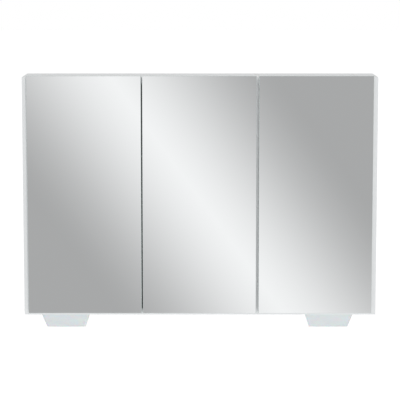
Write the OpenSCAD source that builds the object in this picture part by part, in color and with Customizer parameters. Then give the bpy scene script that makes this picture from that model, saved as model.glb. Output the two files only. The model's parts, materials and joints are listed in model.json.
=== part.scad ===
// Wall-hung bathroom cabinet with three mirror doors on concealed hinges, glass shelves,
// adjustable hangers and two lamp pods below. Millimetres, +Z up, front towards -Y.
// The origin is on the wall, midway between the four screw holes of the two wall plates.

/* [Cabinet] */
// Overall width
body_w = 900; // [860:10:1000]
// Height of the carcass without doors and lamps
body_h = 610; // [580:5:700]
// Depth of the carcass from the wall to its front edges
body_d = 138; // [130:1:180]
// Thickness of the two side panels
side_t = 18; // [18:1:20]
// Thickness of the top, the bottom and the partition
panel_t = 16; // [16:1:18]
// Thickness of the back panel
back_t = 3; // [3:1:5]
// Space behind the back panel
back_recess = 14; // [14:1:20]

/* [Doors] */
// Width of the side panel edge left visible beside an outer door
reveal = 13; // [11:1:13]
// Gap between the two free door edges
free_gap = 3; // [2:1:5]
// Gap between the two door edges at the partition
hinge_gap = 6; // [6:1:7]
// Height by which the doors stand above the carcass
door_rise = 5; // [0:1:8]
// Height by which the doors end above the carcass underside
door_lift = 8; // [0:1:10]
// Thickness of the door board
board_t = 16; // [16:1:18]
// Thickness of the mirror on the board
mirror_t = 4; // [3:1:5]
// Gap between a closed door and the carcass
door_gap = 2; // [2:0.5:3]

/* [Shelves] */
// Thickness of the glass shelves
shelf_t = 5; // [4:1:6]
// Depth of the glass shelves
shelf_d = 100; // [90:1:105]
// Height of the lower shelf above the carcass underside
shelf_low = 205; // [190:1:230]
// Height of the upper shelf above the carcass underside
shelf_high = 405; // [380:1:420]

/* [Wall fixing] */
// Height of the wall screw pattern above the carcass underside
hang_h = 540; // [520:1:540]
// Distance between the two wall plates
plate_span = 800; // [780:1:800]
// Distance between the two holes of a wall plate
plate_holes = 32; // [30:1:34]
// Radius of the wall screw holes
wall_hole_r = 3.25; // [2.5:0.25:3.5]

/* [Lamps] */
// Centre of the left lamp
lamp_left = -347; // [-360:1:-250]
// Centre of the right lamp
lamp_right = 333; // [250:1:360]
// Width of a lamp at the cabinet
lamp_w = 130; // [120:1:150]
// Depth of a lamp at the cabinet
lamp_d = 80; // [70:1:90]
// Height of a lamp
lamp_h = 42; // [36:1:50]
// Distance by which each side leans in
lamp_taper = 14; // [8:1:14]

/* [Hidden] */

// Curve resolution of true rounds, and of rounds inside a hull
$fn = 48;
hull_fn = 32;
// A cut reaches this far past the face it opens
over = 1;
// Hair's breadth that joins two solids, or opens a pocket flush with a face
skin = 0.01;
// Radial clearance of a pin that turns, and of a part in its bore
pin_gap = 0.05;

// Carcass planes
z0 = -hang_h;
z1 = z0 + body_h;
in_x = body_w / 2 - side_t;
front_y = -body_d;
back_y = -back_recess - back_t;
groove = 6;
groove_play = 0.5;

// Doors: three equal leaves
door_w = (body_w - 2 * reveal - free_gap - hinge_gap) / 3;
door_z0 = z0 + door_lift;
door_h = body_h + door_rise - door_lift;
door_back = front_y - door_gap;
outer_x = body_w / 2 - reveal;
gap_x = outer_x - door_w - hinge_gap / 2;
mirror_edge = 0.5;
// Each door: x of its hinged edge, and the direction inwards from that edge
doors = [[-outer_x, 1], [gap_x - hinge_gap / 2, -1], [outer_x, -1]];
LEFT = 0;
MIDDLE = 1;
RIGHT = 2;

// Hinges, in the door's own measure: u inwards from the hinged edge, v back from the board
hinge_end = 85;
hinge_z = [door_z0 + hinge_end, door_z0 + door_h - hinge_end];
face_u = side_t - reveal;
arm_pivot = [34, 10];
cup_pivot = [12, -5];
pin_r = 1.5;

// Cup in the door, its ears, screws and pin
cup_u = 22.5;
cup_r = 17.5;
cup_depth = 12;
cup_floor = 0.2;
cup_wall = 1.2;
cup_ear_t = 1.2;
cup_screw_u = 32;
cup_screw_w = 24;
cup_screw_r = 1.7;
cup_screw_len = 11;
cup_pin_len = 25;
cup_pin_end = 0.2;

// Link between the two pivots, and its middle line
link_w = 8;
link_t = 2.4;
eye_r = 2.9;
link_line = [[34, 10], [30.5, -1], [26, -7], [21, -8.2], [15, -8.2], [12, -5]];

// Arm: two ears round the link, a body above the plate, and a channel below it
ear_w = 2;
ear_end_v = 19;
ear_r = 4;
slot_w = link_w + 0.6;
arm_w = slot_w + 2 * ear_w;
arm_top_u = 24;
arm_back_v = 70;
arm_ears = [[30.4, 8.3], [37.9, 11], [37.5, 17], [30, 33], [arm_top_u, 38]];
arm_heel = [[21, 26]];
channel = [7, 26, 6.4];
arm_screw_v = [48, 62];
arm_screw_r = 1.95;

// Mounting plate: a rib under the arm, and wings for its screws
plate_t = 4;
plate_v = 39;
rib_v = [29, arm_back_v - 2];
rib_w = 12;
wing_t = 2.5;
wing_v = 16;
wing_w = 48;
plate_screw_w = 16;
plate_screw_r = 1.95;
plate_screw_len = 13.5;
plate_bore = 12;

// Shelves
wide_x = [-in_x, gap_x - panel_t / 2];
narrow_x = [gap_x + panel_t / 2, in_x];
shelf_play = 1.5;
shelf_edge = 0.8;
shelf_back_y = back_y - 4;
shelf_pin_end = 18;
shelf_pin_y = [shelf_back_y - shelf_d + shelf_pin_end, shelf_back_y - shelf_pin_end];
pin_z_step = 32;
shelf_pin_r = 2.5;
shelf_pin_in = 9;
shelf_pin_out = 7;
collar_r = 4;
collar_t = 1.2;

// Carcass fittings
fit_y = [front_y + 32, -48];
cam_r = 7.5;
cam_t = 12.5;
cam_x = 34;
bolt_r = 3;
bolt_in = 11;
dowel_r = 4;
dowel_in = 12;
dowel_len = 30;
dowel_step = 22;
screw_len = 50;
screw_r = 2.5;
neck_r = 3.5;
sink_r = 5;
sink_h = 3;
cap_t = 0.8;
cap_rim = 1.5;
cap_edge = 0.5;

// Hangers: hook line, housing with two studs, wall plate with a raised lip
hook_x = in_x - 11;
hook_z = 39;
hook_t = 4;
hook_h = 8;
hook_play = 0.2;
finger_y = [-5.3, -2.5];
finger_drop = 10;
housing_d = 50;
housing_w = 22;
housing_z = [8, 50];
housing_wall = 12;
hanger_screw_z = [20, 30];
hanger_bore_r = 3.6;
hanger_bore = 10;
stud_r = 5;
stud_end = 8;
stud_len = 9;
stud_bore = 10;
plate_w = 60;
plate_h = 54;
plate_steel = 2;
lip_d = 8;

// Cable grommet
grommet_z = z0 + 45;
grommet_r = 10;
grommet_hole_r = 6;
grommet_rim_t = 2;

// Lamps: a base against the cabinet, and a lens below the seam
lamps = [lamp_left, lamp_right];
lamp_y = -body_d / 2;
lamp_lean = lamp_taper / lamp_h;
lamp_seam = 8;
lamp_round = 6;
lens_wall = 2;
lens_step = 0.5;
lens_fit = 0.02;
base_hollow = 4;
base_land = 6;
roof_z = z0 - lamp_seam + base_hollow;
lamp_screw_x = lamp_w / 2 - 18;
lamp_screw_r = 1.7;
lamp_screw_in = 11;

// Light source: a board on two studs under the base, two rows of LEDs below it, a driver above
led_t = 1.6;
led_z = z0 - 17;
led_board = [74, 32];
led_stud_x = 33;
led = [3.5, 2.8, 1];
led_pitch = [11.5, 16];
led_columns = 6;
driver = [52, 24];

// ---------- shapes that repeat ----------

// Places children in a door's hinge measure at each hinge height
module at_hinges(d) {
    for (z = hinge_z)
        translate([doors[d][0], door_back, z])
            if (doors[d][1] > 0) children(); else mirror([1, 0, 0]) children();
}

// Places children at a door's hinged bottom corner, u to the right, v to the back
module at_door(d) {
    translate([doors[d][0], door_back, door_z0])
        if (doors[d][1] > 0) children(); else mirror([1, 0, 0]) children();
}

// Cylinder from the origin along +x or +y
module along_x(r, l) { rotate([0, 90, 0]) cylinder(r = r, h = l); }
module along_y(r, l) { rotate([-90, 0, 0]) cylinder(r = r, h = l); }

// Box from its two corners
module block(a, b) { translate(a) cube(b - a); }

// Flat slab with a narrow chamfer on its front edges, front towards -y
module chamfered_slab(w, t, h, c) {
    hull() {
        translate([0, -t + c, 0]) cube([w, t - c, h]);
        translate([c, -t, c]) cube([w - 2 * c, c, h - 2 * c]);
    }
}

// Screw along +x from its head's underside: head, shank and a cross recess
module screw(head_r, head_h, shank_r, l) {
    recess = [0.6 * head_h, 1.2 * head_r, 0.24 * head_r];
    difference() {
        union() {
            along_x(shank_r, l);
            translate([-head_h, 0, 0]) along_x(head_r, head_h);
        }
        for (a = [0, 90])
            rotate([a, 0, 0])
                translate([-head_h - over, -recess[1] / 2, -recess[2] / 2])
                    cube([over + recess[0], recess[1], recess[2]]);
    }
}

// Rectangle with round corners, centred
module round_rect(w, d, r) {
    hull()
        for (x = [-1, 1], y = [-1, 1])
            translate([x * (w / 2 - r), y * (d / 2 - r)]) circle(r = r, $fn = hull_fn);
}

// ---------- carcass ----------

// Bores in a side panel, drawn for the right one
module side_bores() {
    for (y = shelf_pin_y, z = [shelf_low, shelf_high], n = [-1, 0, 1])
        translate([in_x - over, y, z0 + z - shelf_pin_r + n * pin_z_step])
            along_x(shelf_pin_r, shelf_pin_in + over);
    for (y = fit_y, z = [z0 + panel_t / 2, z1 - panel_t / 2]) {
        translate([in_x - over, y, z]) along_x(bolt_r, bolt_in + over);
        translate([in_x - over, y + dowel_step, z]) along_x(dowel_r, dowel_in + over);
    }
    for (z = hinge_z, w = [-1, 1])
        translate([in_x - over, door_back + plate_v, z + w * plate_screw_w])
            along_x(plate_screw_r + pin_gap, plate_bore + over);
    for (z = [housing_z[0] + stud_end, housing_z[1] - stud_end])
        translate([in_x - over, back_y - housing_d / 2, z]) along_x(stud_r, stud_bore + over);
}

module side_panel() {
    difference() {
        block([in_x, front_y, z0], [body_w / 2, 0, z1]);
        block([in_x - over, back_y, z0 + panel_t - groove],
              [in_x + groove, -back_recess, z1 - panel_t + groove]);
        side_bores();
    }
}

module side_left() { color("whitesmoke") mirror([1, 0, 0]) side_panel(); }
module side_right() { color("whitesmoke") side_panel(); }

// Horizontal panel; sgn is 1 for the top and -1 for the bottom
module cross_panel(z, sgn) {
    outside = sgn > 0 ? z + panel_t : z;
    inside = sgn > 0 ? z : z + panel_t;
    difference() {
        block([-in_x, front_y, z], [in_x, 0, z + panel_t]);
        block([-in_x - over, back_y, min(inside - sgn * over, inside + sgn * groove)],
              [in_x + over, -back_recess, max(inside - sgn * over, inside + sgn * groove)]);
        for (y = fit_y, s = [-1, 1]) {
            translate([s * (in_x - cam_x), y, outside - sgn * cam_t / 2])
                cylinder(r = cam_r, h = cam_t + skin, center = true);
            translate([s > 0 ? in_x - cam_x : -in_x - over, y, z + panel_t / 2])
                along_x(bolt_r, cam_x + over);
            translate([s > 0 ? in_x - dowel_len + dowel_in : -in_x - over,
                       y + dowel_step, z + panel_t / 2])
                along_x(dowel_r, dowel_len - dowel_in + over);
        }
        for (y = fit_y) {
            translate([gap_x, y, z - over]) cylinder(r = neck_r, h = panel_t + 2 * over);
            translate([gap_x, y, outside - sgn * sink_h / 2])
                cylinder(r = sink_r, h = sink_h + skin, center = true);
        }
        if (sgn < 0) lamp_screw_bores();
    }
}

module lamp_screw_bores() {
    for (x = lamps, s = [-1, 1])
        translate([x + s * lamp_screw_x, lamp_y, z0 - over])
            cylinder(r = lamp_screw_r + pin_gap, h = lamp_screw_in + 2 * over);
}

module top_panel() { color("whitesmoke") cross_panel(z1 - panel_t, 1); }
module bottom_panel() { color("whitesmoke") cross_panel(z0, -1); }

module partition() {
    color("whitesmoke") difference() {
        block([gap_x - panel_t / 2, front_y, z0 + panel_t],
              [gap_x + panel_t / 2, back_y, z1 - panel_t]);
        for (y = shelf_pin_y, z = [shelf_low, shelf_high], n = [-1, 0, 1])
            translate([gap_x - panel_t / 2 - over, y, z0 + z - shelf_pin_r + n * pin_z_step])
                along_x(shelf_pin_r, panel_t + 2 * over);
        for (z = hinge_z, w = [-1, 1])
            translate([gap_x - panel_t / 2 - over, door_back + plate_v, z + w * plate_screw_w])
                along_x(plate_screw_r + pin_gap, plate_bore + over);
        for (y = fit_y, z = [z0 + panel_t - over, z1 - screw_len])
            translate([gap_x, y, z]) cylinder(r = screw_r, h = screw_len - panel_t + over);
    }
}

module back_panel() {
    window = [10, 15];
    window_z = hook_z - 5;
    edge = groove - groove_play;
    color("gainsboro") difference() {
        block([-in_x - edge, back_y, z0 + panel_t - edge],
              [in_x + edge, -back_recess, z1 - panel_t + edge]);
        for (s = [-1, 1])
            translate([s * hook_x - window[0] / 2, back_y - over, window_z])
                cube([window[0], back_t + 2 * over, window[1]]);
        translate([lamp_right, back_y - over, grommet_z]) along_y(grommet_r, back_t + 2 * over);
    }
}

// ---------- shelves ----------

module shelf(xs, h) {
    translate([xs[0] + shelf_play, shelf_back_y, z0 + h])
        chamfered_slab(xs[1] - xs[0] - 2 * shelf_play, shelf_d, shelf_t, shelf_edge);
}

module wide_shelf_lower() { color("lightcyan") shelf(wide_x, shelf_low); }
module wide_shelf_upper() { color("lightcyan") shelf(wide_x, shelf_high); }
module narrow_shelf_lower() { color("lightcyan") shelf(narrow_x, shelf_low); }
module narrow_shelf_upper() { color("lightcyan") shelf(narrow_x, shelf_high); }

// One shelf pin: plug in the panel, collar and a flat-topped rest, pointing along +x
module shelf_pin(plug) {
    difference() {
        union() {
            translate([-plug, 0, 0]) along_x(shelf_pin_r, plug + shelf_pin_out);
            along_x(collar_r, collar_t);
        }
        translate([-over, -collar_r - over, shelf_pin_r])
            cube([shelf_pin_out + 2 * over, 2 * (collar_r + over), collar_r]);
    }
}

module shelf_pins() {
    through = panel_t / 2 - 0.2;
    color("silver")
        for (y = shelf_pin_y, h = [shelf_low, shelf_high]) {
            z = z0 + h - shelf_pin_r;
            translate([wide_x[0], y, z]) shelf_pin(shelf_pin_in);
            translate([wide_x[1], y, z]) mirror([1, 0, 0]) shelf_pin(through);
            translate([narrow_x[0], y, z]) shelf_pin(through);
            translate([narrow_x[1], y, z]) mirror([1, 0, 0]) shelf_pin(shelf_pin_in);
        }
}

// ---------- carcass fittings ----------

// Places children at each corner joint of the carcass, +x towards the side panel
module at_joints() {
    for (y = fit_y, z = [z0 + panel_t / 2, z1 - panel_t / 2], s = [0, 1])
        mirror([s, 0, 0]) translate([in_x, y, z]) children();
}

module carcass_dowels() {
    color("burlywood") at_joints()
        translate([dowel_in - dowel_len, dowel_step, 0]) along_x(dowel_r, dowel_len);
}

module cam_bolts() {
    color("silver") at_joints()
        translate([cam_r - cam_x, 0, 0]) along_x(bolt_r, cam_x - cam_r + bolt_in);
}

// Cam discs, each with a driver cross outside and a way in for its bolt
module cam_discs() {
    cross = [8, 1.4, 1];
    way = bolt_r + 2 * pin_gap;
    reach = 8;
    color("silver")
        for (y = fit_y, s = [-1, 1], top = [0, 1])
            translate([s * (in_x - cam_x), y, top ? z1 : z0]) mirror([0, 0, top])
                difference() {
                    cylinder(r = cam_r - pin_gap, h = cam_t);
                    for (a = [0, 90]) rotate([0, 0, a])
                        translate([-cross[0] / 2, -cross[1] / 2, -over])
                            cube([cross[0], cross[1], cross[2] + over]);
                    translate([s * reach / 2 - reach, -way, panel_t / 2 - way])
                        cube([2 * reach, 2 * way, cam_t]);
                }
}

module partition_screws() {
    hex_r = 2.3;
    color("silver")
        for (y = fit_y, top = [0, 1])
            translate([gap_x, y, top ? z1 : z0]) mirror([0, 0, top])
                difference() {
                    union() {
                        cylinder(r = screw_r, h = screw_len);
                        cylinder(r = neck_r - pin_gap, h = panel_t);
                        cylinder(r = sink_r - pin_gap, h = sink_h);
                    }
                    translate([0, 0, -over]) cylinder(r = hex_r, h = sink_h + over, $fn = 6);
                }
}

// Thin caps that cover the fittings in the top
module cover_caps() {
    color("white")
        for (y = fit_y) {
            for (s = [-1, 1]) translate([s * (in_x - cam_x), y, z1]) cap(cam_r + cap_rim);
            translate([gap_x, y, z1]) cap(sink_r + cap_rim);
        }
}

module cap(r) { cylinder(r1 = r, r2 = r - cap_edge, h = cap_t); }

// ---------- wall fixing ----------

// One hanger's housing for the right corner, with two studs in the side panel
module hanger_housing() {
    slot = hook_t / 2 + hook_play;
    difference() {
        union() {
            block([in_x - housing_w, back_y - housing_d, housing_z[0]],
                  [in_x, back_y, housing_z[1]]);
            for (z = [housing_z[0] + stud_end, housing_z[1] - stud_end])
                translate([in_x - skin, back_y - housing_d / 2, z])
                    along_x(stud_r - pin_gap, stud_len);
        }
        block([hook_x - slot, back_y - housing_d + housing_wall, hook_z - hook_play],
              [hook_x + slot, back_y + over, hook_z + hook_h + hook_play]);
        for (z = hanger_screw_z)
            translate([hook_x, back_y - housing_d - over, z])
                along_y(hanger_bore_r, hanger_bore + over);
    }
}

module hanger_housings() {
    color("white") for (s = [0, 1]) mirror([s, 0, 0]) hanger_housing();
}

// Steel hook: flat bar from the housing, and a finger down behind the wall plate's lip
module hanger_hooks() {
    half = hook_t / 2;
    color("silver")
        for (s = [0, 1])
            mirror([s, 0, 0]) {
                block([hook_x - half, back_y - housing_d + housing_wall + 2, hook_z],
                      [hook_x + half, finger_y[1], hook_z + hook_h]);
                block([hook_x - half, finger_y[0], hook_z - finger_drop],
                      [hook_x + half, finger_y[1], hook_z + skin]);
            }
}

module hanger_screws() {
    head_in = 2;
    color("silver")
        for (s = [-1, 1], z = hanger_screw_z)
            translate([s * hook_x, back_y - housing_d + head_in, z])
                rotate([0, 0, 90]) screw(3.5, 2.5, 2, hanger_bore - head_in - 2 * pin_gap);
}

module wall_plates() {
    half = plate_w / 2;
    top = plate_h / 2;
    color("silver")
        for (s = [-1, 1])
            translate([s * plate_span / 2, 0, 0])
                difference() {
                    union() {
                        block([-half, -plate_steel, -top], [half, 0, top]);
                        block([-half, -lip_d, top - plate_steel], [half, 0, top]);
                        block([-half, -lip_d, top - plate_steel],
                              [half, -lip_d + plate_steel, hook_z]);
                    }
                    for (z = [-1, 1])
                        translate([0, -plate_steel - over, z * plate_holes / 2])
                            along_y(wall_hole_r, plate_steel + 2 * over);
                }
}

module cable_grommet() {
    color("dimgray")
        translate([lamp_right, back_y - grommet_rim_t, grommet_z])
            difference() {
                union() {
                    along_y(grommet_r + 3, grommet_rim_t);
                    along_y(grommet_r - pin_gap, grommet_rim_t + back_t);
                    translate([0, grommet_rim_t + back_t, 0]) along_y(grommet_r + 2, grommet_rim_t);
                }
                translate([0, -over, 0])
                    along_y(grommet_hole_r, back_t + 2 * (grommet_rim_t + over));
            }
}

// ---------- lamps ----------

// Solid of the lamp's outer form between two depths below the cabinet, shrunk by inset
module lamp_form(from, to, inset) {
    hull()
        for (z = [from, to])
            translate([0, 0, -z - (z == to ? 0 : skin)]) linear_extrude(skin)
                round_rect(lamp_w - 2 * (lamp_lean * z + inset),
                           lamp_d - 2 * (lamp_lean * z + inset), lamp_round - inset);
}

module lamp_base(x) {
    translate([x, lamp_y, z0])
        difference() {
            lamp_form(0, lamp_seam, 0);
            translate([0, 0, -lamp_seam - over]) linear_extrude(over + base_hollow)
                round_rect(2 * (lamp_screw_x - base_land), lamp_d - 16, lamp_seam);
            for (s = [-1, 1])
                translate([s * lamp_screw_x, 0, -lamp_seam - over])
                    cylinder(r = lamp_screw_r + 0.5, h = lamp_seam + 2 * over);
        }
}

module lamp_base_left() { color("gainsboro") lamp_base(lamp_left); }
module lamp_base_right() { color("gainsboro") lamp_base(lamp_right); }

module lamp_lens(x) {
    translate([x, lamp_y, z0])
        difference() {
            lamp_form(lamp_seam + lens_fit, lamp_h, lens_step);
            lamp_form(lamp_seam - over, lamp_h - lens_wall, lens_step + lens_wall);
        }
}

module lamp_lens_left() { color("aliceblue") lamp_lens(lamp_left); }
module lamp_lens_right() { color("aliceblue") lamp_lens(lamp_right); }

module led_boards() {
    stud_hole = 5;
    color("white")
        for (x = lamps)
            translate([x, lamp_y, led_z])
                difference() {
                    union() {
                        translate([-led_board[0] / 2, -led_board[1] / 2, 0])
                            cube([led_board[0], led_board[1], led_t]);
                        for (s = [-1, 1])
                            translate([s * led_stud_x, 0, 0])
                                cylinder(r = screw_r, h = roof_z - led_z);
                    }
                    for (s = [-1, 1])
                        translate([s * led_stud_x, 0, -over])
                            cylinder(r = screw_r / 2, h = stud_hole + over);
                }
}

module led_chips() {
    color("khaki")
        for (x = lamps, i = [0 : led_columns - 1], j = [-1, 1])
            translate([x + (i - (led_columns - 1) / 2) * led_pitch[0] - led[0] / 2,
                       lamp_y + j * led_pitch[1] / 2 - led[1] / 2, led_z - led[2]])
                cube(led);
}

module lamp_drivers() {
    color("dimgray")
        for (x = lamps)
            translate([x - driver[0] / 2, lamp_y - driver[1] / 2, led_z + led_t])
                cube([driver[0], driver[1], roof_z - led_z - led_t]);
}

module lamp_screws() {
    color("silver")
        for (x = lamps, s = [-1, 1])
            translate([x + s * lamp_screw_x, lamp_y, z0 - lamp_seam])
                rotate([0, -90, 0]) screw(3.6, 2, lamp_screw_r, lamp_seam + lamp_screw_in);
}

// ---------- fixed hinge parts ----------

module hinge_plates(d) {
    at_hinges(d)
        difference() {
            union() {
                block([face_u, plate_v - wing_v / 2, -wing_w / 2],
                      [face_u + wing_t, plate_v + wing_v / 2, wing_w / 2]);
                block([face_u, rib_v[0], -rib_w / 2], [face_u + plate_t, rib_v[1], rib_w / 2]);
            }
            for (w = [-1, 1])
                translate([face_u - over, plate_v, w * plate_screw_w])
                    along_x(plate_screw_r + 3 * pin_gap, plate_t + 2 * over);
            for (v = arm_screw_v)
                translate([face_u + plate_t - 3.5, v, 0])
                    along_x(arm_screw_r + pin_gap, plate_t + over);
        }
}

module left_hinge_plates() { color("silver") hinge_plates(LEFT); }
module middle_hinge_plates() { color("silver") hinge_plates(MIDDLE); }
module right_hinge_plates() { color("silver") hinge_plates(RIGHT); }

module hinge_arms(d) {
    base_u = face_u + plate_t;
    at_hinges(d)
        difference() {
            linear_extrude(arm_w, center = true) {
                translate(arm_pivot) circle(r = ear_r);
                polygon(concat(arm_ears, [[arm_top_u, arm_back_v], [base_u, arm_back_v],
                                          [base_u, rib_v[0] + 2]], arm_heel));
            }
            translate([0, -over, -slot_w / 2])
                cube([arm_pivot[0] + ear_r + over, ear_end_v + over, slot_w]);
            translate([arm_pivot[0], arm_pivot[1], -arm_w]) cylinder(r = pin_r, h = 2 * arm_w);
            for (v = arm_screw_v)
                translate([base_u - over, v, 0])
                    along_x(arm_screw_r + 3 * pin_gap, arm_top_u);
            translate([base_u - over, arm_back_v - channel[1], -channel[2] / 2])
                cube([channel[0] + over, channel[1] + over, channel[2]]);
        }
}

module left_hinge_arms() { color("silver") hinge_arms(LEFT); }
module middle_hinge_arms() { color("silver") hinge_arms(MIDDLE); }
module right_hinge_arms() { color("silver") hinge_arms(RIGHT); }

module plate_screws() {
    color("silver")
        for (d = [LEFT, MIDDLE, RIGHT])
            at_hinges(d)
                for (w = [-1, 1])
                    translate([face_u + wing_t, plate_v, w * plate_screw_w])
                        mirror([1, 0, 0]) screw(4, 1.8, plate_screw_r, plate_screw_len);
}

module arm_screws() {
    stop = 0.5;
    color("silver")
        for (d = [LEFT, MIDDLE, RIGHT])
            at_hinges(d)
                for (v = arm_screw_v)
                    translate([arm_top_u, v, 0])
                        mirror([1, 0, 0])
                            screw(3.8, 1.6, arm_screw_r, arm_top_u - face_u - 2 * stop);
}

module arm_pins() {
    proud = 0.5;
    color("silver")
        for (d = [LEFT, MIDDLE, RIGHT])
            at_hinges(d)
                translate([arm_pivot[0], arm_pivot[1], 0])
                    cylinder(r = pin_r, h = arm_w + 2 * proud, center = true);
}

// ---------- hinge links ----------

module hinge_links(d) {
    at_hinges(d)
        linear_extrude(link_w, center = true)
            difference() {
                union() {
                    for (p = [arm_pivot, cup_pivot]) translate(p) circle(r = eye_r);
                    for (i = [1 : len(link_line) - 2])
                        translate(link_line[i]) circle(r = link_t / 2);
                    for (i = [0 : len(link_line) - 2]) strip(link_line[i], link_line[i + 1]);
                }
                for (p = [arm_pivot, cup_pivot]) translate(p) circle(r = pin_r + pin_gap);
            }
}

// Flat strip between two points
module strip(a, b) {
    run = b - a;
    translate(a) rotate(atan2(run[1], run[0]))
        translate([0, -link_t / 2]) square([norm(run), link_t]);
}

module left_hinge_links() { color("gray") hinge_links(LEFT); }
module middle_hinge_links() { color("gray") hinge_links(MIDDLE); }
module right_hinge_links() { color("gray") hinge_links(RIGHT); }

// ---------- doors ----------

module door_board(d) {
    difference() {
        at_door(d) translate([0, -board_t, 0]) cube([door_w, board_t, door_h]);
        at_hinges(d) {
            translate([cup_u, -cup_depth, 0]) along_y(cup_r, cup_depth + over);
            for (w = [-1, 1])
                translate([cup_screw_u, -cup_screw_len, w * cup_screw_w])
                    along_y(cup_screw_r + pin_gap, cup_screw_len + over);
        }
    }
}

module left_door_board() { color("white") door_board(LEFT); }
module middle_door_board() { color("white") door_board(MIDDLE); }
module right_door_board() { color("white") door_board(RIGHT); }

module mirror_sheet(d) {
    at_door(d)
        translate([0, -board_t, 0]) chamfered_slab(door_w, mirror_t, door_h, mirror_edge);
}

module left_mirror() { color("lightsteelblue") mirror_sheet(LEFT); }
module middle_mirror() { color("lightsteelblue") mirror_sheet(MIDDLE); }
module right_mirror() { color("lightsteelblue") mirror_sheet(RIGHT); }

// Pressed steel cup with two ears and the holes for its pin
module hinge_cups(d) {
    outside = cup_r - pin_gap;
    ear = 6;
    at_hinges(d)
        difference() {
            union() {
                translate([cup_u, cup_floor - cup_depth, 0])
                    along_y(outside, cup_depth - cup_floor);
                block([cup_u + 2, 0, -cup_screw_w - ear],
                      [cup_screw_u + ear, cup_ear_t, cup_screw_w + ear]);
            }
            translate([cup_u, cup_floor - cup_depth + cup_wall, 0])
                along_y(outside - cup_wall, cup_depth + 2 * over);
            translate([cup_pivot[0], cup_pivot[1], 0])
                cylinder(r = pin_r, h = cup_pin_len + 2 * cup_pin_end, center = true);
            for (w = [-1, 1])
                translate([cup_screw_u, -over, w * cup_screw_w])
                    along_y(cup_screw_r + 6 * pin_gap, cup_ear_t + 2 * over);
        }
}

module left_hinge_cups() { color("silver") hinge_cups(LEFT); }
module middle_hinge_cups() { color("silver") hinge_cups(MIDDLE); }
module right_hinge_cups() { color("silver") hinge_cups(RIGHT); }

module cup_pins(d) {
    at_hinges(d)
        translate([cup_pivot[0], cup_pivot[1], 0])
            cylinder(r = pin_r, h = cup_pin_len, center = true);
}

module left_cup_pins() { color("dimgray") cup_pins(LEFT); }
module middle_cup_pins() { color("dimgray") cup_pins(MIDDLE); }
module right_cup_pins() { color("dimgray") cup_pins(RIGHT); }

module cup_screws(d) {
    at_hinges(d)
        for (w = [-1, 1])
            translate([cup_screw_u, cup_ear_t, w * cup_screw_w])
                rotate([0, 0, -90]) screw(3.6, 1.6, cup_screw_r, cup_screw_len);
}

module left_cup_screws() { color("silver") cup_screws(LEFT); }
module middle_cup_screws() { color("silver") cup_screws(MIDDLE); }
module right_cup_screws() { color("silver") cup_screws(RIGHT); }

// Soft buttons on the board's back, opposite the front edges of the top and the bottom
module bumpers(d) {
    r = 3.5;
    side = 14;
    at_door(d)
        for (z = [r + 0.5, door_h - door_rise - panel_t / 2])
            translate([door_w - side, 0, z])
                rotate([-90, 0, 0]) cylinder(r1 = r, r2 = r - 0.8, h = door_gap - 0.4);
}

module left_bumpers() { color("lightgray") bumpers(LEFT); }
module middle_bumpers() { color("lightgray") bumpers(MIDDLE); }
module right_bumpers() { color("lightgray") bumpers(RIGHT); }

side_left();
side_right();
top_panel();
bottom_panel();
partition();
back_panel();
wide_shelf_lower();
wide_shelf_upper();
narrow_shelf_lower();
narrow_shelf_upper();
shelf_pins();
carcass_dowels();
cam_bolts();
cam_discs();
partition_screws();
cover_caps();
hanger_housings();
hanger_hooks();
hanger_screws();
wall_plates();
cable_grommet();
lamp_base_left();
lamp_base_right();
lamp_lens_left();
lamp_lens_right();
led_boards();
led_chips();
lamp_drivers();
lamp_screws();
left_hinge_plates();
middle_hinge_plates();
right_hinge_plates();
left_hinge_arms();
middle_hinge_arms();
right_hinge_arms();
plate_screws();
arm_screws();
arm_pins();
left_hinge_links();
middle_hinge_links();
right_hinge_links();
left_door_board();
middle_door_board();
right_door_board();
left_mirror();
middle_mirror();
right_mirror();
left_hinge_cups();
middle_hinge_cups();
right_hinge_cups();
left_cup_pins();
middle_cup_pins();
right_cup_pins();
left_cup_screws();
middle_cup_screws();
right_cup_screws();
left_bumpers();
middle_bumpers();
right_bumpers();
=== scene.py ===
import json
import math

import bmesh
import bpy
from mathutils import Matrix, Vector


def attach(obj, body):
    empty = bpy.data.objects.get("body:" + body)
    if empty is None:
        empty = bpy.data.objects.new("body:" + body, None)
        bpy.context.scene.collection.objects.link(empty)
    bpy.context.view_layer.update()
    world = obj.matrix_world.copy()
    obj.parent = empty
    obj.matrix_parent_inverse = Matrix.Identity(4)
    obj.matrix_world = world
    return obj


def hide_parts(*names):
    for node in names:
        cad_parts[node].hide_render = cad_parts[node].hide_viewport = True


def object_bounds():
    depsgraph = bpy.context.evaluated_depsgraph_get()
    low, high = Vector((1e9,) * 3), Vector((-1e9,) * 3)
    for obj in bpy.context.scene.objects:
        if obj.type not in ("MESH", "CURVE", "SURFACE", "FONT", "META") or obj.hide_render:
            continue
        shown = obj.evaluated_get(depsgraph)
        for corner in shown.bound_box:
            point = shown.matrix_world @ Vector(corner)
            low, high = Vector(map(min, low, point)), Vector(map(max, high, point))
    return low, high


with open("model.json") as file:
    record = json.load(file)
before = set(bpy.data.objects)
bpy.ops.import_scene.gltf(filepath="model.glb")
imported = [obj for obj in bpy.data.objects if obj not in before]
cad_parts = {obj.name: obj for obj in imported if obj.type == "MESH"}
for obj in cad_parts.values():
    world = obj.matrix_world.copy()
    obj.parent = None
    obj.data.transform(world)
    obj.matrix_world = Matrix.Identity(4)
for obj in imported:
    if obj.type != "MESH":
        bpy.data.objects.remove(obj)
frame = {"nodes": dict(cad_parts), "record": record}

# Looks of the three-door mirror cabinet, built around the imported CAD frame. Metres, +Z up.

CAD_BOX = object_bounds()
NODES = frame["nodes"]
DOORS = ("left", "middle", "right")
UNDER_LAMPS, TOP_OF_DOORS = CAD_BOX[0].z, CAD_BOX[1].z
MIRROR_Y = CAD_BOX[0].y

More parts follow.
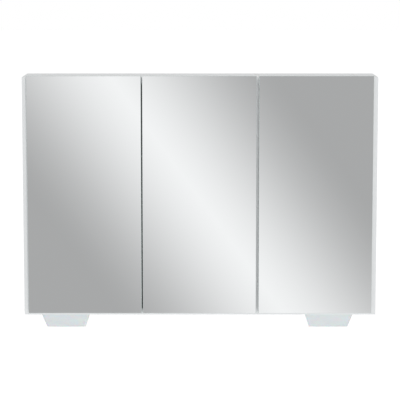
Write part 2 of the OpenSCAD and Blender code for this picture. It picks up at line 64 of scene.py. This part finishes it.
# Camera: distance from the mirrors, height above the lamps' undersides, lens and sensor width in
# mm, angle below level in radians, and vertical shift
CAMERA_AWAY, CAMERA_UP = 4.0, 0.945
CAMERA_LENS, CAMERA_SENSOR = 143.8, 36.0
CAMERA_DROP, CAMERA_SHIFT = 0.117, -0.13

# Floor: half its width, its depth below the lamps, its grey, roughness and own faint light
FLOOR_HALF, FLOOR_BELOW = 30.0, 0.55
FLOOR_GREY, FLOOR_ROUGH, FLOOR_GLOW = 0.93, 0.9, 0.3

# Soft box in front of the doors: place, aim, width and height, and power in watts
LIGHT_PLACE, LIGHT_AIM = (0.15, -3.4, -0.3), (0.05, 0, -0.3)
LIGHT_SIZE, LIGHT_POWER = (0.3, 1.6), 35

# Glow in the mirrors: its lean, its middle at the doors' top and its half width in metres, its
# grey from the middle outwards, and its tint
GLOW_LEAN, GLOW_MIDDLE, GLOW_HALF = 0.727, -0.2275, 0.42
GLOW_STOPS = ((0.0, 0.99), (0.27, 0.835), (0.54, 0.625), (0.8, 0.46), (1.0, 0.412))
GLOW_TINT = (0.995, 1.0, 1.003)

# The room round the glow: how far off the middle of the view, as a slope, it starts and is full
ROOM_FROM, ROOM_FULL = 0.45, 1.0
# Its grey at the horizon and high up, and how high that is as the sine of the height
ROOM_LOW, ROOM_HIGH, HIGH = 0.56, 1.07, 0.8
# The grey added straight below, and the sines between which it grows
GROUND, GROUND_FROM, GROUND_FULL = 0.7, -0.1, -0.75
# The share lost at the sides, and the soft bands' turns across and upwards and their range
SIDE_LOSS = 0.12
BANDS_ACROSS, BANDS_UP, BANDS_DIM, BANDS_BRIGHT = 9.0, 7.0, 0.72, 1.1

# Rounding of worked pieces: how many segments it has, and the least angle between the two faces
# of an edge that is rounded
ROUND_SEGMENTS, ROUND_ANGLE = 2, math.radians(32)
# Vertices closer than this, in metres, are one, and faces that turn less than this are flat
SAME_PLACE, FLAT = 1e-6, math.radians(0.5)
# Faces whose normal has at least this share of an axis lie across it
ACROSS = 0.99

# ---------------------------------------------------------------- node helpers


def new_material(name):
    """A material with only a principled shader, its tree and that shader."""
    material = bpy.data.materials.new(name)
    material.use_nodes = True
    tree = material.node_tree
    shader = tree.nodes["Principled BSDF"]
    return material, tree, shader


def feed(tree, socket, value):
    """Links value to the socket if it is an output, and sets it as a constant if it isn't."""
    if isinstance(value, bpy.types.NodeSocket):
        tree.links.new(value, socket)
    else:
        socket.default_value = value


def add(tree, kind, settings=None, **inputs):
    """Adds a node. An input goes by its name, or by its number after an i, such as i0."""
    node = tree.nodes.new(kind)
    for key, value in (settings or {}).items():
        setattr(node, key, value)
    for key, value in inputs.items():
        numbered = key[0] == "i" and key[1:].isdigit()
        feed(tree, node.inputs[int(key[1:]) if numbered else key], value)
    return node


def maths(tree, operation, *values):
    node = tree.nodes.new("ShaderNodeMath")
    node.operation = operation
    for socket, value in zip(node.inputs, values):
        feed(tree, socket, value)
    return node.outputs[0]


def noise(tree, scale, detail=3.0, stretch=(1, 1, 1), rough=0.5):
    """Noise in object space, in features per metre."""
    place = add(tree, "ShaderNodeTexCoord").outputs["Object"]
    sized = add(tree, "ShaderNodeMapping", Vector=place, Scale=tuple(s * scale for s in stretch))
    made = add(tree, "ShaderNodeTexNoise", Vector=sized.outputs[0], Scale=1.0, Detail=detail,
               Roughness=rough)
    return made.outputs["Fac"]


def spread(tree, value, low, high, start=0.0, end=1.0):
    """Maps value from start..end to low..high, held at the ends."""
    made = add(tree, "ShaderNodeMapRange", {"clamp": True}, i0=value, i1=start, i2=end, i3=low,
               i4=high)
    return made.outputs[0]


def tint(tree, value, dark, light):
    """Blends two colours by value."""
    ramp = tree.nodes.new("ShaderNodeValToRGB")
    ramp.color_ramp.elements[0].color = (*dark, 1)
    ramp.color_ramp.elements[1].color = (*light, 1)
    tree.links.new(value, ramp.inputs[0])
    return ramp.outputs[0]


def bump(tree, shader, height, strength, distance):
    """Raises the surface by height: distance is in metres."""
    made = add(tree, "ShaderNodeBump", Strength=strength, Distance=distance, Height=height)
    tree.links.new(made.outputs[0], shader.inputs["Normal"])


def wire(tree, shader, **sockets):
    """Sets or links the shader's sockets: an underscore in a name stands for a space."""
    for key, value in sockets.items():
        feed(tree, shader.inputs[key.replace("_", " ")], value)


# ---------------------------------------------------------------- materials


def melamine(name, dark, light, gloss=0.36):
    """White faced board: a faint cloudiness, and the fine pearl texture of the press plate."""
    material, tree, shader = new_material(name)
    clouds = noise(tree, 9, 4)
    pearl = noise(tree, 1400, 2)
    marks = noise(tree, 160, 3, (1, 1, 0.25))
    wire(tree, shader, Base_Color=tint(tree, clouds, dark, light),
         Roughness=spread(tree, marks, gloss - 0.05, gloss + 0.08, 0.3, 0.7), IOR=1.5)
    bump(tree, shader, pearl, 0.1, 0.00002)
    return material


def hardboard(name):
    """Raw back of a thin fibreboard: pressed screen pattern and darker fibres."""
    material, tree, shader = new_material(name)
    fibres = noise(tree, 220, 6, (1, 1, 3), 0.7)
    screen = noise(tree, 900, 2)
    wire(tree, shader, Base_Color=tint(tree, fibres, (0.30, 0.185, 0.10), (0.47, 0.32, 0.19)),
         Roughness=spread(tree, fibres, 0.7, 0.9))
    bump(tree, shader, maths(tree, "ADD", fibres, screen), 0.5, 0.0002)
    return material


def silver(name):
    """Front of the mirror: silvered glass with a faint bloom where it was wiped."""
    material, tree, shader = new_material(name)
    wipes = noise(tree, 7, 5, (1, 1, 2.6), 0.6)
    tone = noise(tree, 3, 2)
    wire(tree, shader, Base_Color=tint(tree, tone, (0.922, 0.93, 0.932), (0.932, 0.94, 0.942)),
         Metallic=1.0, Roughness=spread(tree, wipes, 0.0, 0.02, 0.45, 0.8))
    return material


def glass_edge(name):
    """Ground and polished edge of float glass, grey-green, with fine grinding lines."""
    material, tree, shader = new_material(name)
    lines = noise(tree, 2200, 2, (1, 1, 0.05))
    depth = noise(tree, 40, 2)
    wire(tree, shader, Base_Color=tint(tree, depth, (0.60, 0.71, 0.69), (0.74, 0.82, 0.80)),
         Roughness=spread(tree, lines, 0.08, 0.22), IOR=1.52, Coat_Weight=0.4)
    bump(tree, shader, lines, 0.2, 0.00005)
    return material


def backing_paint(name):
    """Grey protective paint on the mirror's back."""
    material, tree, shader = new_material(name)
    runs = noise(tree, 60, 4)
    wire(tree, shader, Base_Color=tint(tree, runs, (0.16, 0.17, 0.18), (0.22, 0.23, 0.24)),
         Roughness=spread(tree, runs, 0.4, 0.6))
    bump(tree, shader, runs, 0.2, 0.0001)
    return material


def shelf_glass(name):
    """Clear float glass of the shelves."""
    material, tree, shader = new_material(name)
    dust = noise(tree, 30, 5)
    wire(tree, shader, Base_Color=(0.90, 0.97, 0.95, 1), Transmission_Weight=1.0, IOR=1.52,
         Roughness=spread(tree, dust, 0.0, 0.03, 0.5, 0.8))
    return material


def plated(name, dark, light, rough, grain=(1, 1, 1), scale=300):
    """Plated steel: light cloudiness, fine drawn or rolled lines in the roughness."""
    material, tree, shader = new_material(name)
    clouds = noise(tree, 45, 4)
    lines = noise(tree, scale, 4, grain)
    wire(tree, shader, Base_Color=tint(tree, clouds, dark, light), Metallic=1.0,
         Roughness=spread(tree, lines, rough - 0.07, rough + 0.1, 0.3, 0.7))
    bump(tree, shader, lines, 0.12, 0.00008)
    return material


def zinc(name):
    """Zinc-plated sheet: faint crystals with their own tone."""
    material, tree, shader = new_material(name)
    place = add(tree, "ShaderNodeTexCoord").outputs["Object"]
    cells = add(tree, "ShaderNodeTexVoronoi", Vector=place, Scale=160.0)
    tone = cells.outputs["Color"]
    wire(tree, shader, Base_Color=tint(tree, tone, (0.42, 0.44, 0.47), (0.62, 0.65, 0.69)),
         Metallic=1.0, Roughness=spread(tree, tone, 0.28, 0.45))
    bump(tree, shader, noise(tree, 700, 3), 0.15, 0.0001)
    return material


def plastic(name, dark, light, rough=0.45, scale=2400, depth=0.00002, **more):
    """Moulded plastic: spark-eroded grain and slight flow marks."""
    material, tree, shader = new_material(name)
    flow = noise(tree, 35, 3, (1, 1, 3))
    grain = noise(tree, scale, 2)
    wire(tree, shader, Base_Color=tint(tree, flow, dark, light),
         Roughness=spread(tree, grain, rough - 0.06, rough + 0.08, 0.3, 0.7), **more)
    bump(tree, shader, grain, 0.3, depth)
    return material


def beech(name):
    """Turned beech: fine long grain with short dark flecks."""
    material, tree, shader = new_material(name)
    grain = noise(tree, 90, 5, (0.12, 1, 1), 0.6)
    flecks = noise(tree, 900, 2, (0.15, 1, 1))
    both = maths(tree, "MULTIPLY", grain, spread(tree, flecks, 0.7, 1.0, 0.4, 0.6))
    wire(tree, shader, Base_Color=tint(tree, both, (0.42, 0.27, 0.14), (0.74, 0.56, 0.36)),
         Roughness=spread(tree, grain, 0.5, 0.7))
    bump(tree, shader, grain, 0.3, 0.0002)
    return material


BOARD = melamine("white_board", (0.76, 0.775, 0.785), (0.81, 0.82, 0.825))
EDGE_BAND = melamine("white_edge_band", (0.77, 0.785, 0.79), (0.80, 0.815, 0.82), 0.4)
BACK_FACE = melamine("white_back_face", (0.74, 0.75, 0.755), (0.79, 0.80, 0.80), 0.5)
HARDBOARD = hardboard("raw_hardboard")
SILVER = silver("silvered_glass")
GLASS_EDGE = glass_edge("ground_glass_edge")
BACKING = backing_paint("mirror_backing")
SHELF_GLASS = shelf_glass("float_glass")
NICKEL = plated("nickel_plate", (0.60, 0.585, 0.55), (0.71, 0.70, 0.67), 0.22)
HINGE_STEEL = plated("pressed_steel", (0.52, 0.51, 0.49), (0.65, 0.64, 0.62), 0.27,
                     (1, 1, 0.1), 500)
ZINC = zinc("zinc_plate")
WHITE_PLASTIC = plastic("white_plastic", (0.80, 0.80, 0.79), (0.86, 0.86, 0.85))
BLACK_PLASTIC = plastic("black_plastic", (0.025, 0.025, 0.028), (0.045, 0.045, 0.05), 0.5)
LAMP_PLASTIC = plastic("lamp_base_plastic", (0.71, 0.74, 0.755), (0.76, 0.79, 0.805), 0.45)
OPAL = plastic("opal_lens", (0.72, 0.75, 0.765), (0.77, 0.80, 0.815), 0.4, 2600, 0.00001,
               Subsurface_Weight=0.35, Subsurface_Scale=0.004, IOR=1.49)
SOLDER_MASK = plastic("white_solder_mask", (0.84, 0.84, 0.82), (0.90, 0.90, 0.88), 0.25)
PHOSPHOR = plastic("led_phosphor", (0.80, 0.62, 0.16), (0.92, 0.76, 0.28), 0.35)
SOFT_PLASTIC = plastic("bumper_plastic", (0.68, 0.69, 0.69), (0.78, 0.79, 0.79), 0.3,
                       Transmission_Weight=0.35)
BEECH = beech("beech")

SLOT_LOOKS = {
    "carcass": BOARD, "door_board": BOARD, "back_board": BACK_FACE, "mirror": SILVER,
    "shelf_glass": SHELF_GLASS, "nickel": NICKEL, "hinge_steel": HINGE_STEEL, "zinc_steel": ZINC,
    "wood": BEECH, "white_plastic": WHITE_PLASTIC, "black_plastic": BLACK_PLASTIC,
    "lamp_plastic": LAMP_PLASTIC, "lamp_opal": OPAL, "led_board": SOLDER_MASK, "led": PHOSPHOR,
    "bumper": SOFT_PLASTIC,
}
SLOT_OF = {s["node"]: s["material_slot"] for s in frame["record"]["subparts"]}
BODY_OF = {n: b for b, names in frame["record"]["behaviour"]["bodies"].items() for n in names}

for node, thing in NODES.items():
    thing.data.materials.clear()
    thing.data.materials.append(SLOT_LOOKS[SLOT_OF[node]])

# ---------------------------------------------------------------- pieces with worked edges


def worked(node, name, width, looks, face_look, smooth=False):
    """A copy of a CAD node with its sharp edges rounded. face_look picks a face's look.

    smooth is for pressed and turned parts: flat boards and glass keep true flat faces."""
    mesh = NODES[node].data.copy()
    mesh.name = name
    mesh.materials.clear()
    for look in looks:
        mesh.materials.append(look)
    made = bmesh.new()
    made.from_mesh(mesh)
    bmesh.ops.remove_doubles(made, verts=made.verts, dist=SAME_PLACE)
    bmesh.ops.dissolve_limit(made, angle_limit=FLAT, verts=made.verts, edges=made.edges)
    for face in made.faces:
        face.material_index = face_look(face)
        face.smooth = smooth
    made.to_mesh(mesh)
    made.free()
    piece = bpy.data.objects.new(name, mesh)
    bpy.context.scene.collection.objects.link(piece)
    rounding = piece.modifiers.new("rounding", "BEVEL")
    rounding.width = width
    rounding.segments = ROUND_SEGMENTS
    rounding.limit_method = "ANGLE"
    rounding.angle_limit = ROUND_ANGLE
    rounding.harden_normals = smooth
    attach(piece, BODY_OF[node])
    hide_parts(node)


def plain(face):
    """One look all over."""
    return 0


def broad(axis):
    """First look on the broad faces, which lie across the axis, and the second on the edges."""
    return lambda face: 0 if abs(face.normal[axis]) > ACROSS else 1


def front_and_rear(face):
    """Mirror sheet: silver in front, ground glass round the edge, paint behind."""
    if face.normal.y < -ACROSS:
        return 0
    return 2 if face.normal.y > ACROSS else 1


def rear_raw(face):
    """Back panel: raw on the wall side."""
    return 1 if face.normal.y > ACROSS else 0


X, Y, Z = 0, 1, 2
BOARD_EDGE, MIRROR_EDGE, BACK_EDGE, SMALL_EDGE = 0.0008, 0.0004, 0.0003, 0.0005

for side in DOORS:
    worked(f"{side}_mirror", f"{side}_mirror_glass", MIRROR_EDGE, (SILVER, GLASS_EDGE, BACKING),
           front_and_rear)
    worked(f"{side}_door_board", f"{side}_door_panel", BOARD_EDGE, (BOARD, EDGE_BAND), broad(Y))
for node, axis in (("side_left", X), ("side_right", X), ("partition", X), ("top_panel", Z),
                   ("bottom_panel", Z)):
    worked(node, f"{node}_board", BOARD_EDGE, (BOARD, EDGE_BAND), broad(axis))
worked("back_panel", "back_panel_board", BACK_EDGE, (BACK_FACE, HARDBOARD), rear_raw)
for node in [n for n in NODES if SLOT_OF[n] == "shelf_glass"]:
    worked(node, f"{node}_glass", SMALL_EDGE, (SHELF_GLASS, GLASS_EDGE), broad(Z))
for node in [n for n in NODES if SLOT_OF[n] in ("hinge_steel", "zinc_steel", "white_plastic")]:
    worked(node, f"{node}_formed", SMALL_EDGE, (SLOT_LOOKS[SLOT_OF[node]],), plain, smooth=True)

# ---------------------------------------------------------------- stage


def environment():
    """Studio surround: white where the camera looks, and soft grey panels in the reflections.

    One broad diagonal panel stands in front of the cabinet, so that the mirrors show its glow.
    Away from it the room is brighter above and straight below, darker at the sides, and has wide
    soft bands."""
    world = bpy.data.worlds.new("studio")
    bpy.context.scene.world = world
    world.use_nodes = True
    tree = world.node_tree
    way = add(tree, "ShaderNodeTexCoord").outputs["Generated"]
    split = add(tree, "ShaderNodeSeparateXYZ", Vector=way)
    sideways, height = split.outputs[0], split.outputs[2]
    # Slopes in front of the cabinet: the least forward share keeps them finite at the sides
    least = 0.05
    forward = maths(tree, "MAXIMUM", maths(tree, "MULTIPLY", split.outputs[1], -1.0), least)
    across = maths(tree, "DIVIDE", sideways, forward)
    up = maths(tree, "DIVIDE", height, forward)
    # GLOW_MIDDLE is given at the doors' top, and the directions here start from the camera's height
    doors_top = TOP_OF_DOORS - UNDER_LAMPS - CAMERA_UP
    shift = (GLOW_MIDDLE + GLOW_LEAN * doors_top) / CAMERA_AWAY
    offset = maths(tree, "MULTIPLY_ADD", up, GLOW_LEAN, maths(tree, "ADD", across, -shift))
    distance = maths(tree, "DIVIDE", maths(tree, "ABSOLUTE", offset), GLOW_HALF / CAMERA_AWAY)
    panel = tree.nodes.new("ShaderNodeValToRGB")
    ramp = panel.color_ramp
    ramp.interpolation = "B_SPLINE"
    while len(ramp.elements) < len(GLOW_STOPS):
        ramp.elements.new(0.5)
    for element, (place, grey) in zip(ramp.elements, GLOW_STOPS):
        element.position = place
        element.color = (*(grey * part for part in GLOW_TINT), 1)
    tree.links.new(distance, panel.inputs[0])
    aside = maths(tree, "SQRT", maths(tree, "MULTIPLY_ADD", across, across,
                                      maths(tree, "MULTIPLY", up, up)))
    leave = spread(tree, aside, 0.0, 1.0, ROOM_FROM, ROOM_FULL)
    ceiling = spread(tree, height, ROOM_LOW, ROOM_HIGH, 0.0, HIGH)
    ground = spread(tree, height, GROUND, 0.0, GROUND_FULL, GROUND_FROM)
    walls = maths(tree, "MULTIPLY_ADD", maths(tree, "MULTIPLY", sideways, sideways), -SIDE_LOSS,
                  1.0)
    turns = maths(tree, "MULTIPLY_ADD", sideways, BANDS_ACROSS,
                  maths(tree, "MULTIPLY", height, BANDS_UP))
    bands = spread(tree, maths(tree, "SINE", turns), BANDS_DIM, BANDS_BRIGHT, -1.0, 1.0)
    room = maths(tree, "MULTIPLY", maths(tree, "MULTIPLY", ceiling, walls), bands)
    room = maths(tree, "ADD", room, ground)
    grey_room = add(tree, "ShaderNodeCombineColor", i0=room, i1=room, i2=room)
    mixed = add(tree, "ShaderNodeMix", {"data_type": "RGBA"}, i0=leave, i6=panel.outputs[0],
                i7=grey_room.outputs[0])
    seen = add(tree, "ShaderNodeLightPath").outputs["Is Camera Ray"]
    final = add(tree, "ShaderNodeMix", {"data_type": "RGBA"}, i0=seen, i6=mixed.outputs[2],
                i7=(1, 1, 1, 1))
    tree.links.new(final.outputs[2], tree.nodes["Background"].inputs["Color"])


def soft_light(name, place, aim, size, power):
    """Soft box that lights the object and doesn't show in the mirrors."""
    lamp = bpy.data.lights.new(name, "AREA")
    lamp.shape = "RECTANGLE"
    lamp.size, lamp.size_y = size
    lamp.energy = power
    holder = bpy.data.objects.new(name, lamp)
    holder.location = place
    holder.rotation_euler = (Vector(aim) - Vector(place)).to_track_quat("-Z", "Y").to_euler()
    holder.visible_glossy = False
    bpy.context.scene.collection.objects.link(holder)


def pale_floor():
    """Wide pale floor well below the hanging cabinet."""
    mesh = bpy.data.meshes.new("floor")
    z = UNDER_LAMPS - FLOOR_BELOW
    corners = [(x * FLOOR_HALF, y * FLOOR_HALF, z) for x, y in ((-1, -1), (1, -1), (1, 1), (-1, 1))]
    mesh.from_pydata(corners, [], [(0, 1, 2, 3)])
    floor = bpy.data.objects.new("floor", mesh)
    material, tree, shader = new_material("pale_floor")
    wire(tree, shader, Base_Color=(FLOOR_GREY, FLOOR_GREY, FLOOR_GREY, 1),
         Roughness=FLOOR_ROUGH, Emission_Color=(1, 1, 1, 1), Emission_Strength=FLOOR_GLOW)
    mesh.materials.append(material)
    floor.visible_glossy = False
    floor.visible_diffuse = False
    bpy.context.scene.collection.objects.link(floor)


def photo_camera():
    """Camera a little above the cabinet, looking slightly down at its front."""
    camera = bpy.data.cameras.new("camera")
    camera.lens = CAMERA_LENS
    camera.sensor_width = CAMERA_SENSOR
    camera.shift_y = CAMERA_SHIFT
    holder = bpy.data.objects.new("camera", camera)
    holder.location = (0, MIRROR_Y - CAMERA_AWAY, UNDER_LAMPS + CAMERA_UP)
    holder.rotation_euler = (math.pi / 2 - CAMERA_DROP, 0, 0)
    bpy.context.scene.collection.objects.link(holder)
    bpy.context.scene.camera = holder


environment()
pale_floor()
soft_light("front_box", LIGHT_PLACE, LIGHT_AIM, LIGHT_SIZE, LIGHT_POWER)
photo_camera()
bpy.context.scene.view_settings.view_transform = "Standard"
